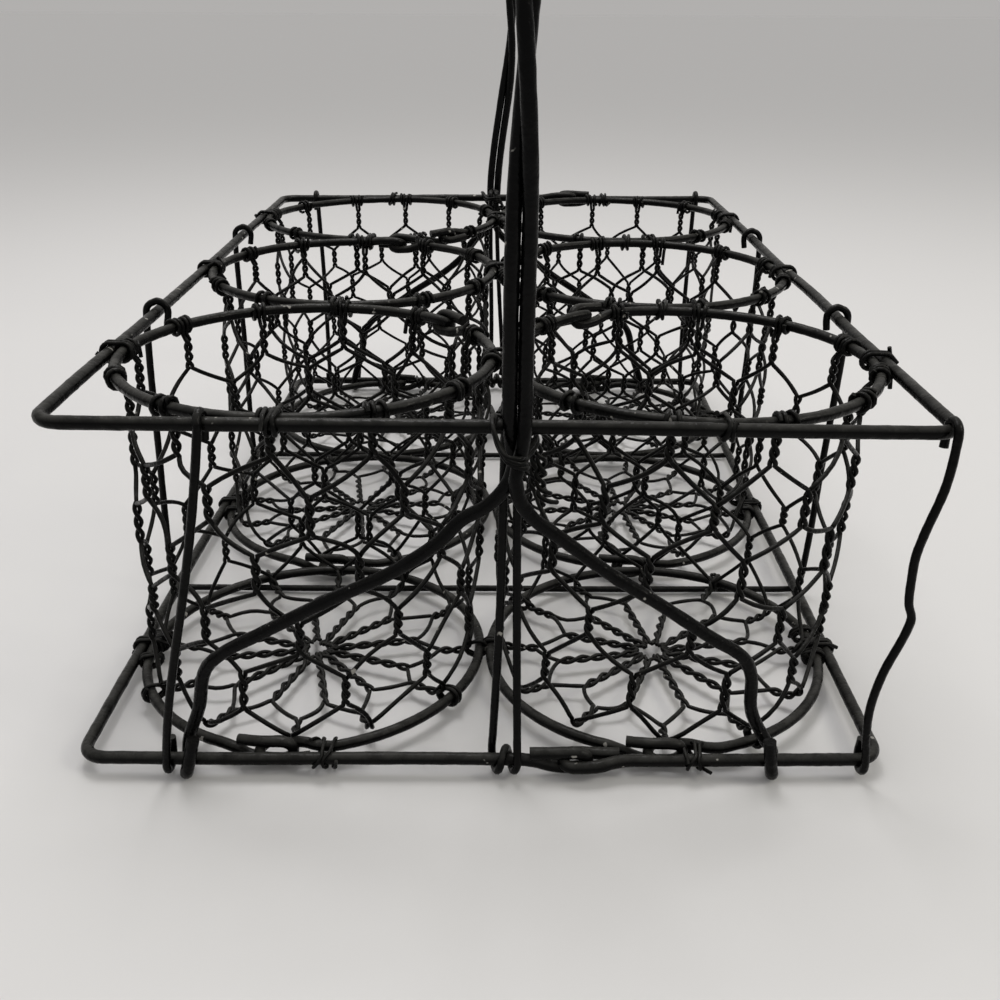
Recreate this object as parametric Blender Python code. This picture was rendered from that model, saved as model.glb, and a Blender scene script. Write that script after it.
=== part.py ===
"""Wire plant caddy: six chicken-wire cups in two wire frames, under one twisted handle.

X runs across the caddy, Y along it, Z up. The origin is on the table under the middle.
"""

import math

import bmesh
import bpy
from mathutils import Vector

MM = 0.001

# Wire diameters
RAIL_WIRE = 2.8 * MM
RING_WIRE = 2.5 * MM
HANDLE_WIRE = 2.8 * MM
POST_WIRE = 1.8 * MM
NET_WIRE = 1.1 * MM
TIE_WIRE = 1.0 * MM

# Room left between two wires that lie against each other
GAP = 0.3 * MM

# Cups
COLUMN_NAMES = ("left", "right")
ROW_NAMES = ("front", "middle", "back")
RING_OUTER = 85.0 * MM
RING_SEGMENTS = 20

# Frames
RAIL_RISE = 78.0 * MM
CORNER_RADIUS = 5.0 * MM
CORNER_STEPS = 4
TOP_CLOSURE_X = 26.0 * MM
BOTTOM_CLOSURE_X = 17.0 * MM

# Closures: the two ends of a wire lie one over the other and turn round each other
FRAME_LAP = 17.0 * MM
RING_LAP = 12.0 * MM
LAP_RAMP = 4.0 * MM
RIM_CLOSURE_GAPS = {"left": 1, "right": 3}
BACK_RIM_CLOSURE_GAPS = {"left": 7, "right": 5}
BASE_CLOSURE_ANGLES = {"left": math.radians(225), "right": math.radians(315)}

# Hexagonal net
NET_COLUMNS = 9
NET_ROWS = 4
NET_TWIST_SHARE = 0.53
NET_TURN = math.radians(5)
FLOOR_OUTER_SPOKE = 8.0 * MM
FLOOR_DIAGONAL = 6.0 * MM
FLOOR_LOOP_RADIUS = 4.5 * MM

# Handle
HANDLE_TOP = 250.0 * MM
HANDLE_BELLY_Z = 135.0 * MM
HANDLE_BELLY = 3.0 * MM
HANDLE_SQUARENESS = 2.6
HANDLE_HALF_TURNS = 4
HANDLE_STRAIGHT = 36.0 * MM
HANDLE_POINTS = 50
SPLAY_FORK_DROP = 9.0 * MM
SPLAY_FORK_LEAD = 2.0 * MM
SPLAY_FOOT_INSET = 25.85 * MM
SPLAY_KNEE_INSET = 7.0 * MM
SPLAY_KNEE_Z = 31.0 * MM
SPLAY_KNEE_BEND = 3.0 * MM
FOOT_TAIL_TOP = 11.5 * MM
FOOT_FLAT = 0.28 * MM

# Posts and cross frames
CROSS_OFFSET = 7.5 * MM
HOOK_TAIL = 3.5 * MM
CENTRE_POST_SPREAD = 4.8 * MM
CORNER_POST_INSET = 6.0 * MM
BACK_LEFT_POST_INSET = 13.0 * MM
FRONT_LEFT_POST_TOP_INSET = 31.35 * MM
FRONT_LEFT_POST_FOOT_INSET = 15.35 * MM

# Places that follow from the sizes above
CUP_PITCH = RING_OUTER + GAP
FRAME_X = len(COLUMN_NAMES) * CUP_PITCH + GAP + RAIL_WIRE
FRAME_Y = len(ROW_NAMES) * CUP_PITCH + GAP + RAIL_WIRE
LOW_Z = HANDLE_WIRE - FOOT_FLAT + GAP + RAIL_WIRE / 2
HIGH_Z = LOW_Z + RAIL_RISE
RING_RADIUS = (RING_OUTER - RING_WIRE) / 2
RING_INSIDE = RING_RADIUS * math.cos(math.pi / RING_SEGMENTS) - RING_WIRE / 2
NET_RADIUS = RING_INSIDE - GAP - NET_WIRE / 2
CROSS_Z = LOW_Z - RAIL_WIRE / 2 - GAP - POST_WIRE / 2
FLOOR_Z = CROSS_Z + POST_WIRE / 2 + GAP + NET_WIRE / 2

COLLECTION = bpy.data.collections.new("wire_plant_caddy")
HELPERS = bpy.data.collections.new("helpers")


def clear_scene():
    for item in list(bpy.data.objects):
        bpy.data.objects.remove(item, do_unlink=True)
    for collection in (COLLECTION, HELPERS):
        bpy.context.scene.collection.children.link(collection)


def painted_steel(name, colour, roughness):
    material = bpy.data.materials.new(name)
    material.use_nodes = True
    shader = material.node_tree.nodes["Principled BSDF"]
    shader.inputs["Base Color"].default_value = (*colour, 1.0)
    shader.inputs["Roughness"].default_value = roughness
    shader.inputs["Metallic"].default_value = 0.0
    return material


def wire(name, points, diameter, material, resolution=1, collection=COLLECTION):
    """A bent wire along points, with 6 sides, or 4 where resolution is 0."""
    curve = bpy.data.curves.new(name, "CURVE")
    curve.dimensions = "3D"
    curve.bevel_depth = diameter / 2
    curve.bevel_resolution = resolution
    curve.use_fill_caps = True
    spline = curve.splines.new("POLY")
    spline.points.add(len(points) - 1)
    for spot, point in zip(spline.points, points):
        spot.co = (*point, 1.0)
    curve.materials.append(material)
    item = bpy.data.objects.new(name, curve)
    collection.objects.link(item)
    return item


def solid_from(curve_object, name, collection):
    """The closed mesh of a wire, in place of its curve."""
    depsgraph = bpy.context.evaluated_depsgraph_get()
    mesh = bpy.data.meshes.new_from_object(curve_object.evaluated_get(depsgraph))
    shell = bmesh.new()
    shell.from_mesh(mesh)
    bmesh.ops.remove_doubles(shell, verts=shell.verts, dist=0.00001)
    bmesh.ops.recalc_face_normals(shell, faces=shell.faces)
    shell.to_mesh(mesh)
    shell.free()
    item = bpy.data.objects.new(name, mesh)
    item.matrix_world = curve_object.matrix_world
    collection.objects.link(item)
    bpy.data.objects.remove(curve_object, do_unlink=True)
    return item


def shade_round(item):
    item.data.shade_smooth()
    item.data.set_sharp_from_angle(angle=math.radians(70))


def arc(centre_x, centre_y, radius, start, end, steps):
    points = []
    for step in range(steps + 1):
        angle = start + (end - start) * step / steps
        points.append((centre_x + radius * math.cos(angle), centre_y + radius * math.sin(angle)))
    return points


def lap_ends(lap, wire_size):
    """Both ends of a closure as (along, outward, up): each end turns round the other wire's side."""
    lift = wire_size + GAP
    turn = math.radians(48)
    half = lap / 2
    first = [
        (-half - 0.5 * lift, lift * math.cos(turn), lift + lift * math.sin(turn)),
        (-half - 0.35 * lift, lift, lift),
        (-half, lift * math.cos(turn), lift - lift * math.sin(turn)),
        (-half + 0.8 * lift, 0.0, 0.0),
    ]
    second = [
        (-half - 0.9 * lift - LAP_RAMP, 0.0, 0.0),
        (-half - 0.9 * lift, 0.0, lift),
        (half - 0.8 * lift, 0.0, lift),
        (half, lift * math.cos(turn), lift * math.sin(turn)),
        (half + 0.35 * lift, lift, 0.0),
        (half + 0.5 * lift, lift * math.cos(turn), -lift * math.sin(turn)),
    ]
    return first, second


def frame_path(z, closure_x, side):
    """A rounded rectangle whose ends meet on the front rail (side -1) or the back rail (side 1)."""
    half_x = FRAME_X / 2
    half_y = FRAME_Y / 2
    reach_x = half_x - CORNER_RADIUS
    reach_y = half_y - CORNER_RADIUS
    quarter = math.pi / 2
    outline = []
    outline += arc(reach_x, -reach_y, CORNER_RADIUS, -quarter, 0.0, CORNER_STEPS)
    outline += arc(reach_x, reach_y, CORNER_RADIUS, 0.0, quarter, CORNER_STEPS)
    outline += arc(-reach_x, reach_y, CORNER_RADIUS, quarter, 2 * quarter, CORNER_STEPS)
    outline += arc(-reach_x, -reach_y, CORNER_RADIUS, 2 * quarter, 3 * quarter, CORNER_STEPS)
    first, second = lap_ends(FRAME_LAP, RAIL_WIRE)
    points = [(closure_x + along, -half_y - outward, z + up) for along, outward, up in first]
    points += [(x, y, z) for x, y in outline]
    points += [(closure_x + along, -half_y - outward, z + up) for along, outward, up in second]
    return [(x, -side * y, up) for x, y, up in points]


def ring_path(centre, closure_angle):
    """A circle of wire whose lapped ends turn round each other on the outer side."""
    x, y, z = centre
    first, second = lap_ends(RING_LAP, RING_WIRE)
    lap_angle = -second[0][0] / RING_RADIUS
    start = closure_angle + first[-1][0] / RING_RADIUS
    stop = closure_angle + 2 * math.pi - lap_angle
    steps = round(RING_SEGMENTS * (stop - start - RING_LAP / RING_RADIUS) / (2 * math.pi))
    begin = closure_angle + lap_angle
    polar = []
    for along, outward, up in first:
        polar.append((closure_angle + along / RING_RADIUS, RING_RADIUS + outward, up))
    for step in range(steps):
        polar.append((begin + (stop - begin) * step / steps, RING_RADIUS, 0.0))
    for along, outward, up in second:
        polar.append((closure_angle + along / RING_RADIUS, RING_RADIUS + outward, up))
    points = []
    for angle, radius, up in polar:
        points.append((x + radius * math.cos(angle), y + radius * math.sin(angle), z + up))
    return points


def net_lattice():
    """Rings of points, down the wall and in over the floor, as (radius, z, turn in half columns)."""
    row = (HIGH_Z - FLOOR_Z) / NET_ROWS
    levels = []
    for index in range(NET_ROWS):
        levels.append((NET_RADIUS, HIGH_Z - (index + NET_TWIST_SHARE) * row, index))
        levels.append((NET_RADIUS, HIGH_Z - (index + 1) * row, index + 1))
    fold = NET_RADIUS - FLOOR_OUTER_SPOKE
    levels.append((fold, FLOOR_Z, NET_ROWS))
    levels.append((fold - FLOOR_DIAGONAL, FLOOR_Z, NET_ROWS + 1))
    levels.append((FLOOR_LOOP_RADIUS, FLOOR_Z, NET_ROWS + 1))
    return levels


def net_faces(shell, rings):
    """One face for each gap of the net, so that every edge between them is a wire."""
    for index in range(1, len(rings) - 2, 2):
        upper, low, high, under = rings[index - 1 : index + 3]
        for k in range(NET_COLUMNS):
            n = (k + 1) % NET_COLUMNS
            shell.faces.new((low[k], high[k], under[k], high[n], low[n], upper[n]))
    upper, low, loop = rings[-3:]
    for k in range(NET_COLUMNS):
        n = (k + 1) % NET_COLUMNS
        shell.faces.new((low[k], loop[k], loop[n], low[n], upper[n]))


def net_peaks(shell):
    """The topmost vertex of every zigzag peak, where a hook begins."""
    peaks = []
    for k in range(NET_COLUMNS):
        angle = NET_TURN + 2 * math.pi * k / NET_COLUMNS
        peak = Vector((NET_RADIUS * math.cos(angle), NET_RADIUS * math.sin(angle)))
        near = [vert for vert in shell.verts if (vert.co.xy - peak).length < NET_WIRE]
        peaks.append(max(near, key=lambda vert: vert.co.z))
    return peaks


def net_hooks(shell):
    """The ends of the net: up inside the rim, over it, and down on its outer side."""
    cut = bmesh.ops.bevel(
        shell,
        geom=net_peaks(shell),
        offset=0.4 * NET_WIRE,
        segments=1,
        profile=0.5,
        affect="VERTICES",
    )
    clear = RING_WIRE / 2 + GAP + NET_WIRE / 2
    bends = [
        (NET_RADIUS - RING_RADIUS, 0.40 * clear, math.radians(28)),
        (-0.30 * clear, 1.10 * clear, math.radians(78)),
        (0.76 * clear, 0.84 * clear, math.radians(104)),
    ]
    upward = Vector((0.0, 0.0, 1.0))
    for tip in cut["faces"]:
        middle = tip.calc_center_median()
        radial = Vector((middle.x, middle.y, 0.0)).normalized()
        sideways = upward.cross(radial)
        section = []
        for vert in tip.verts:
            corner = vert.co - middle
            flat = Vector((corner.dot(sideways), corner.dot(radial)))
            section.append(flat.normalized() * NET_WIRE / 2)
        for outward, up, lean in bends:
            tip = bmesh.ops.extrude_discrete_faces(shell, faces=[tip])["faces"][0]
            centre = radial * (RING_RADIUS + outward) + upward * (HIGH_Z + up)
            inward = radial * math.cos(lean) - upward * math.sin(lean)
            for vert, corner in zip(tip.verts, section):
                vert.co = centre + corner.x * sideways + corner.y * inward


def net_cup(name, centre, material):
    """A tube of hexagonal net whose foot is gathered to a small loop, hung on the rim by its ends."""
    shell = bmesh.new()
    half_column = math.pi / NET_COLUMNS
    rings = []
    for radius, z, turn in net_lattice():
        ring = []
        for k in range(NET_COLUMNS):
            angle = NET_TURN + half_column * (turn + 2 * k)
            ring.append(shell.verts.new((radius * math.cos(angle), radius * math.sin(angle), z)))
        rings.append(ring)
    net_faces(shell, rings)
    bmesh.ops.recalc_face_normals(shell, faces=shell.faces)
    bmesh.ops.wireframe(
        shell,
        faces=shell.faces,
        thickness=NET_WIRE,
        use_replace=True,
        use_boundary=True,
        use_even_offset=True,
    )
    net_hooks(shell)
    bmesh.ops.recalc_face_normals(shell, faces=shell.faces)
    mesh = bpy.data.meshes.new(name)
    shell.to_mesh(mesh)
    shell.free()
    mesh.materials.append(material)
    cup = bpy.data.objects.new(name, mesh)
    cup.location = (centre[0], centre[1], 0.0)
    COLLECTION.objects.link(cup)
    shade_round(cup)
    return cup


def hook_radius(wire_size):
    """From a rail's middle to the middle of a wire bent round it, corner points lying a little out."""
    return (RAIL_WIRE / 2 + GAP + wire_size / 2) / math.cos(math.pi / 8)


def post_points(top, foot):
    """A post hooked over the upper rail and under the lower one, as (place along them, outward, z)."""
    radius = hook_radius(POST_WIRE)
    quarter = math.pi / 4
    points = [(top, -radius, HIGH_Z - HOOK_TAIL)]
    for step in range(4):
        angle = math.pi - quarter / 2 - quarter * step
        points.append((top, radius * math.cos(angle), HIGH_Z + radius * math.sin(angle)))
    for step in range(4):
        angle = -quarter / 2 - quarter * step
        points.append((foot, radius * math.cos(angle), LOW_Z + radius * math.sin(angle)))
    points.append((foot, -radius, LOW_Z + HOOK_TAIL))
    return points


def handle_axis():
    """The middle line of the twisted pair from the front rail to the back rail, evenly spaced."""
    foot_y = FRAME_Y / 2 + RAIL_WIRE / 2 + GAP + HANDLE_WIRE / 2
    belly_y = foot_y + HANDLE_BELLY
    top_z = HANDLE_TOP - HANDLE_WIRE / 2
    rise = top_z - HANDLE_BELLY_Z
    power = 2 / HANDLE_SQUARENESS
    fine = 60
    half = []
    for step in range(fine):
        share = 1 - step / fine
        y = belly_y - HANDLE_BELLY * share * share
        half.append((y, HANDLE_BELLY_Z - (HANDLE_BELLY_Z - HIGH_Z) * share))
    for step in range(fine + 1):
        angle = math.pi / 2 * step / fine
        y = belly_y * math.cos(angle) ** power
        half.append((y, HANDLE_BELLY_Z + rise * math.sin(angle) ** power))
    line = [Vector((0.0, -y, z)) for y, z in half]
    line += [Vector((0.0, y, z)) for y, z in reversed(half[:-1])]
    lengths = [0.0]
    for before, after in zip(line, line[1:]):
        lengths.append(lengths[-1] + (after - before).length)
    total = lengths[-1]
    points = []
    index = 0
    for step in range(HANDLE_POINTS + 1):
        target = total * step / HANDLE_POINTS
        while lengths[index + 1] < target and index < len(line) - 2:
            index += 1
        share = (target - lengths[index]) / (lengths[index + 1] - lengths[index])
        points.append(line[index].lerp(line[index + 1], min(1.0, share)))
    return points, total


def twisted_strand(side):
    """One strand of the handle between the rails, on its side (-1 left, 1 right) at both ends."""
    axis, total = handle_axis()
    offset = (HANDLE_WIRE + GAP) / 2
    twist_span = total / 2 - HANDLE_STRAIGHT
    points = []
    for index, point in enumerate(axis):
        before = axis[max(0, index - 1)]
        after = axis[min(len(axis) - 1, index + 1)]
        along = (after - before).normalized()
        across = Vector((1.0, 0.0, 0.0))
        normal = across.cross(along)
        place = total * index / (len(axis) - 1) - total / 2
        share = max(-1.0, min(1.0, place / twist_span))
        angle = math.pi * HANDLE_HALF_TURNS * share
        points.append(point + side * offset * (math.cos(angle) * across + math.sin(angle) * normal))
    return points


def splay(side, end):
    """From the upper rail down and out to the lower one, down behind it, under it and up in front."""
    offset = (HANDLE_WIRE + GAP) / 2
    face_y = FRAME_Y / 2 + RAIL_WIRE / 2 + GAP + HANDLE_WIRE / 2
    radius = hook_radius(HANDLE_WIRE)
    behind_y = FRAME_Y / 2 - radius
    foot_x = FRAME_X / 2 - SPLAY_FOOT_INSET
    knee_x = foot_x - SPLAY_KNEE_INSET
    fork_z = HIGH_Z - SPLAY_FORK_DROP
    drop = fork_z - SPLAY_KNEE_Z
    outline = [
        (offset, 0.0, fork_z + SPLAY_FORK_LEAD),
        (offset + 0.04 * knee_x, 0.0, fork_z - 0.10 * drop),
        (0.17 * knee_x, 0.0, fork_z - 0.27 * drop),
        (0.45 * knee_x, 0.15, fork_z - 0.52 * drop),
        (0.94 * knee_x, 0.55, fork_z - 0.97 * drop),
        (knee_x + 0.2 * SPLAY_KNEE_INSET, 0.70, SPLAY_KNEE_Z - SPLAY_KNEE_BEND),
        (foot_x, 1.0, LOW_Z + HOOK_TAIL),
    ]
    points = []
    for x, behind, z in outline:
        points.append(Vector((side * x, end * (face_y + (behind_y - face_y) * behind), z)))
    quarter = math.pi / 4
    for step in range(4):
        angle = math.pi + quarter / 2 + quarter * step
        out = FRAME_Y / 2 + radius * math.cos(angle)
        points.append(Vector((side * foot_x, end * out, LOW_Z + radius * math.sin(angle))))
    points.append(Vector((side * foot_x, end * (FRAME_Y / 2 + radius), FOOT_TAIL_TOP)))
    return points


def handle_strand(name, side, material):
    front = splay(side, -1)
    back = splay(side, 1)
    points = list(reversed(front)) + twisted_strand(side) + back
    strand = wire(name + "_path", points, HANDLE_WIRE, material)
    bpy.context.view_layer.update()
    solid = solid_from(strand, name, COLLECTION)
    bpy.ops.mesh.primitive_cube_add(size=1.0)
    floor_cutter = bpy.context.object
    floor_cutter.name = name + "_foot_cutter"
    for collection in list(floor_cutter.users_collection):
        collection.objects.unlink(floor_cutter)
    HELPERS.objects.link(floor_cutter)
    floor_cutter.scale = (2 * FRAME_X, 2 * FRAME_Y, HANDLE_WIRE)
    floor_cutter.location = (0.0, 0.0, -HANDLE_WIRE / 2)
    floor_cutter.hide_render = True
    floor_cutter.display_type = "WIRE"
    cut = solid.modifiers.new("flat feet", "BOOLEAN")
    cut.operation = "DIFFERENCE"
    cut.solver = "EXACT"
    cut.object = floor_cutter
    shade_round(solid)
    return solid


def tie(name, first, second, along, material):
    """A short coil of thin wire round two wires that lie side by side."""
    first = Vector(first)
    second = Vector(second)
    across = (second - first).normalized()
    forward = Vector(along).normalized()
    up = across.cross(forward)
    radius = (RAIL_WIRE / 2 + GAP + TIE_WIRE / 2) / math.cos(math.pi / 8)
    pitch = TIE_WIRE + GAP
    steps_a_turn = 8
    steps = 10
    points = []
    for step in range(steps + 1):
        angle = 2 * math.pi * (step - 0.5) / steps_a_turn
        outward = math.cos(angle)
        base = second if outward > 0 else first
        shift = forward * pitch * (step - steps / 2) / steps_a_turn
        points.append(base + radius * (outward * across + math.sin(angle) * up) + shift)
    return wire(name, points, TIE_WIRE, material, resolution=0)


def cup_places():
    for column, column_name in enumerate(COLUMN_NAMES):
        for row, row_name in enumerate(ROW_NAMES):
            x = (column - (len(COLUMN_NAMES) - 1) / 2) * CUP_PITCH
            y = (row - (len(ROW_NAMES) - 1) / 2) * CUP_PITCH
            yield f"{row_name}_{column_name}", column_name, x, y


def build_frames(material):
    wire("top_frame", frame_path(HIGH_Z, TOP_CLOSURE_X, 1), RAIL_WIRE, material)
    wire("bottom_frame", frame_path(LOW_Z, BOTTOM_CLOSURE_X, -1), RAIL_WIRE, material)


def build_cups(ring_material, net_material):
    for label, column, x, y in cup_places():
        base_angle = BASE_CLOSURE_ANGLES[column]
        net_gap = RIM_CLOSURE_GAPS[column]
        if y > CUP_PITCH / 2:
            base_angle = -base_angle
            net_gap = BACK_RIM_CLOSURE_GAPS[column]
        rim_angle = NET_TURN + 2 * math.pi * (net_gap + 0.5) / NET_COLUMNS
        rim = ring_path((x, y, HIGH_Z), rim_angle)
        wire("rim_ring_" + label, rim, RING_WIRE, ring_material)
        base = ring_path((x, y, LOW_Z), base_angle)
        wire("base_ring_" + label, base, RING_WIRE, ring_material)
        net_cup("net_cup_" + label, (x, y), net_material)


def build_posts(material):
    """Four corner posts, and two wires that run down one side, across under the cups and up the other."""
    half_x = FRAME_X / 2
    half_y = FRAME_Y / 2
    right = half_x - CORNER_POST_INSET
    left = BACK_LEFT_POST_INSET - half_x
    front_left_top = FRONT_LEFT_POST_TOP_INSET - half_x
    front_left_foot = FRONT_LEFT_POST_FOOT_INSET - half_x
    corners = {
        "front_left": (front_left_top, front_left_foot, -1),
        "front_right": (right, right, -1),
        "back_left": (left, left, 1),
        "back_right": (right, right, 1),
    }
    for label, (top, foot, end) in corners.items():
        points = [(x, end * (half_y + outward), z) for x, outward, z in post_points(top, foot)]
        wire("corner_post_" + label, points, POST_WIRE, material)
    cross_y = CUP_PITCH / 2 + CROSS_OFFSET
    down_and_under = 8
    for label, y in (("front", -cross_y), ("back", cross_y)):
        half = [(half_x + outward, y, z) for _, outward, z in post_points(y, y)[:down_and_under]]
        half.append((half_x - hook_radius(POST_WIRE), y, CROSS_Z))
        other_half = [(-x, place, z) for x, place, z in reversed(half)]
        wire("cross_frame_" + label, half + other_half, POST_WIRE, material)


def build_centre_posts(material):
    """A hairpin at each end: its bend winds once round the lower rail, its tips hook the upper one."""
    radius = hook_radius(POST_WIRE)
    half = CENTRE_POST_SPREAD / 2
    quarter = math.pi / 4
    tip = [
        (radius * math.cos(angle), HIGH_Z + radius * math.sin(angle))
        for angle in (1.5 * quarter + math.radians(5), 2.5 * quarter, 3.5 * quarter)
    ]
    for label, end in (("front", -1), ("back", 1)):
        points = [(-half, outward, z) for outward, z in tip]
        points.append((-half, -radius, HIGH_Z - HOOK_TAIL))
        points.append((-half, -radius, LOW_Z + HOOK_TAIL))
        turns = 12
        for step in range(turns):
            angle = -math.pi + quarter / 2 + quarter * step
            x = -half + 2 * half * step / (turns - 1)
            points.append((x, radius * math.cos(angle), LOW_Z + radius * math.sin(angle)))
        points.append((half, radius, LOW_Z + HOOK_TAIL))
        points.append((half, -radius, HIGH_Z - HOOK_TAIL))
        points += [(half, outward, z) for outward, z in reversed(tip)]
        placed = [(x, end * (FRAME_Y / 2 + outward), z) for x, outward, z in points]
        wire("centre_post_" + label, placed, POST_WIRE, material)


def build_bindings(material):
    """Thin wire round both strands, the upper rail and the tips of the centre post, front and back."""
    reach = CENTRE_POST_SPREAD / 2 + POST_WIRE / 2 + GAP + TIE_WIRE / 2
    front = RAIL_WIRE / 2 + 2 * GAP + HANDLE_WIRE + TIE_WIRE / 2
    behind = hook_radius(POST_WIRE) + POST_WIRE / 2 + GAP + TIE_WIRE / 2
    over = RAIL_WIRE / 2 + GAP + TIE_WIRE / 2
    path = [
        (-0.9 * reach, front, -0.9 * over),
        (0.0, front, -0.3 * over),
        (0.8 * reach, front, 0.2 * over),
        (1.1 * reach, 0.55 * front, 0.9 * over),
        (1.1 * reach, 0.0, over),
        (1.1 * reach, -0.8 * behind, 0.9 * over),
        (0.7 * reach, -behind, 0.3 * over),
        (-0.7 * reach, -behind, -0.3 * over),
        (-1.1 * reach, -0.8 * behind, -0.9 * over),
        (-1.1 * reach, 0.0, -over),
        (-1.1 * reach, 0.55 * front, -0.3 * over),
        (-0.8 * reach, front, over),
        (0.5 * reach, front, over + TIE_WIRE),
    ]
    for label, end in (("front", -1), ("back", 1)):
        placed = [(x, end * (FRAME_Y / 2 + outward), HIGH_Z + up) for x, outward, up in path]
        wire("handle_binding_" + label, placed, TIE_WIRE, material, resolution=0)


def build_ties(material):
    """Ties from every ring to the rails, and from every rim to its neighbours."""
    side_rail = FRAME_X / 2
    end_rail = FRAME_Y / 2
    for label, column, x, y in cup_places():
        hand = 1 if x > 0 else -1
        for kind, z in (("rim", HIGH_Z), ("base", LOW_Z)):
            ring = (x + hand * RING_RADIUS, y, z)
            tie(f"tie_{kind}_side_{label}", ring, (hand * side_rail, y, z), (0, 1, 0), material)
            if abs(y) > CUP_PITCH / 2:
                end = 1 if y > 0 else -1
                ring = (x, y + end * RING_RADIUS, z)
                tie(f"tie_{kind}_end_{label}", ring, (x, end * end_rail, z), (1, 0, 0), material)
        if y < CUP_PITCH / 2:
            near = (x, y + RING_RADIUS, HIGH_Z)
            far = (x, y + CUP_PITCH - RING_RADIUS, HIGH_Z)
            tie(f"tie_rims_behind_{label}", near, far, (1, 0, 0), material)
        if x < 0:
            near = (x + RING_RADIUS, y, HIGH_Z)
            far = (x + CUP_PITCH - RING_RADIUS, y, HIGH_Z)
            tie(f"tie_rims_right_of_{label}", near, far, (0, 1, 0), material)


clear_scene()
STEEL = painted_steel("black_rail_paint", (0.022, 0.023, 0.022), 0.42)
RING_STEEL = painted_steel("black_ring_paint", (0.024, 0.025, 0.024), 0.45)
NET_STEEL = painted_steel("black_net_paint", (0.020, 0.020, 0.020), 0.50)
HANDLE_STEEL = painted_steel("black_handle_paint", (0.020, 0.021, 0.020), 0.38)
POST_STEEL = painted_steel("black_post_paint", (0.022, 0.022, 0.021), 0.45)
TIE_STEEL = painted_steel("black_tie_paint", (0.018, 0.018, 0.018), 0.50)
build_frames(STEEL)
build_cups(RING_STEEL, NET_STEEL)
build_posts(POST_STEEL)
build_centre_posts(POST_STEEL)
for hand_name, hand_side in (("left", -1), ("right", 1)):
    handle_strand("handle_strand_" + hand_name, hand_side, HANDLE_STEEL)
build_bindings(TIE_STEEL)
build_ties(TIE_STEEL)
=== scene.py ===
# %% [markdown]
# # A wire plant caddy, drawn wire by wire
#
# The caddy carries six small pots in cups of hexagonal netting. Everything in it is wire: two
# frames of thick rod, rings, netting twisted from thin wire, and short ties that bind it together.
# A maker bends wire along a line and lets its thickness follow, and Blender can work the same way.
# A curve object with a bevel is exactly that: a line, and a round section carried along it.
# So this lesson makes almost no shape by hand. It works out lines, and paints what grows on them.

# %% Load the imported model
import math
import random

import bpy
from mathutils import Matrix, Vector, noise
from mathutils.geometry import interpolate_bezier


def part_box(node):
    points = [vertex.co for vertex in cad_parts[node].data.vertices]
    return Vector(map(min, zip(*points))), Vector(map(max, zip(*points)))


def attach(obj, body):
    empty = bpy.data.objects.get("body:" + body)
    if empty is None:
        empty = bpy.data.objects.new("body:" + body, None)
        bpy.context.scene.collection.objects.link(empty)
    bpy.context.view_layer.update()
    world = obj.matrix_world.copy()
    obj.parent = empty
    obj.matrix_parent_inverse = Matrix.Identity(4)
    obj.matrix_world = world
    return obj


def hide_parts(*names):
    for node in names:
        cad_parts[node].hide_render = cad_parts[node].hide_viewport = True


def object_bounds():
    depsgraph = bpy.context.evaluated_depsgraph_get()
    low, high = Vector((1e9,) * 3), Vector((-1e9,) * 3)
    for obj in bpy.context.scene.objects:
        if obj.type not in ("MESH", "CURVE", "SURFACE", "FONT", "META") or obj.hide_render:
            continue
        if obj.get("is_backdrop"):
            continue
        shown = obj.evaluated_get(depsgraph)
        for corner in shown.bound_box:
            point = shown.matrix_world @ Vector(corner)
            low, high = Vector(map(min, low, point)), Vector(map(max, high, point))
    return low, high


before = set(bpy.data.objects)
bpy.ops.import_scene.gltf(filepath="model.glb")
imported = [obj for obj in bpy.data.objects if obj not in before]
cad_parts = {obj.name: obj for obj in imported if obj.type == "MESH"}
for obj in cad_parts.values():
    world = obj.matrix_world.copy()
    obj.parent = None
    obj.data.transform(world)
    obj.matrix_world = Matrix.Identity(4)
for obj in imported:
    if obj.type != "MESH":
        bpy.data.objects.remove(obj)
cad_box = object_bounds()
print("nodes in the packed model:", len(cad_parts))

# %% [markdown]
# ## The sizes that rule the rest
#
# A caddy like this is planned from its cups. Two rings side by side and three in a row set the two
# frames round them, and the height between the frames sets the netting. The lines below are in
# millimetres, because that is how wire is sold, and only the last step turns them into metres.
# Writing each size once keeps wires that touch in touch when one of them changes.

# %% Sizes, in millimetres
MM = 0.001
RAIL_WIRE = 2.8
RING_WIRE = 2.5
HANDLE_WIRE = 2.8
POST_WIRE = 1.8
NET_WIRE = 1.05
TIE_WIRE = 1.05
ROOM = 0.3

RING_OUTER = 85.0
RAIL_RISE = 78.0
FOOT_FLAT = 0.28
CORNER_RADIUS = 5.0

PITCH = RING_OUTER + ROOM
HALF_X = (2 * PITCH + ROOM + RAIL_WIRE) / 2
HALF_Y = (3 * PITCH + ROOM + RAIL_WIRE) / 2
LOW_Z = HANDLE_WIRE - FOOT_FLAT + ROOM + RAIL_WIRE / 2
HIGH_Z = LOW_Z + RAIL_RISE
RING_RADIUS = (RING_OUTER - RING_WIRE) / 2
FOOT_LEAN = 4.2
CORNER_DIP = 2.0

packed_low, packed_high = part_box("bottom_frame")
packed_half = (packed_high.x - packed_low.x) / 2 / MM
planned_half = HALF_X + RAIL_WIRE / 2
print("half width of the lower frame:", round(planned_half, 2), "planned,", round(packed_half, 2), "packed")

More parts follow.
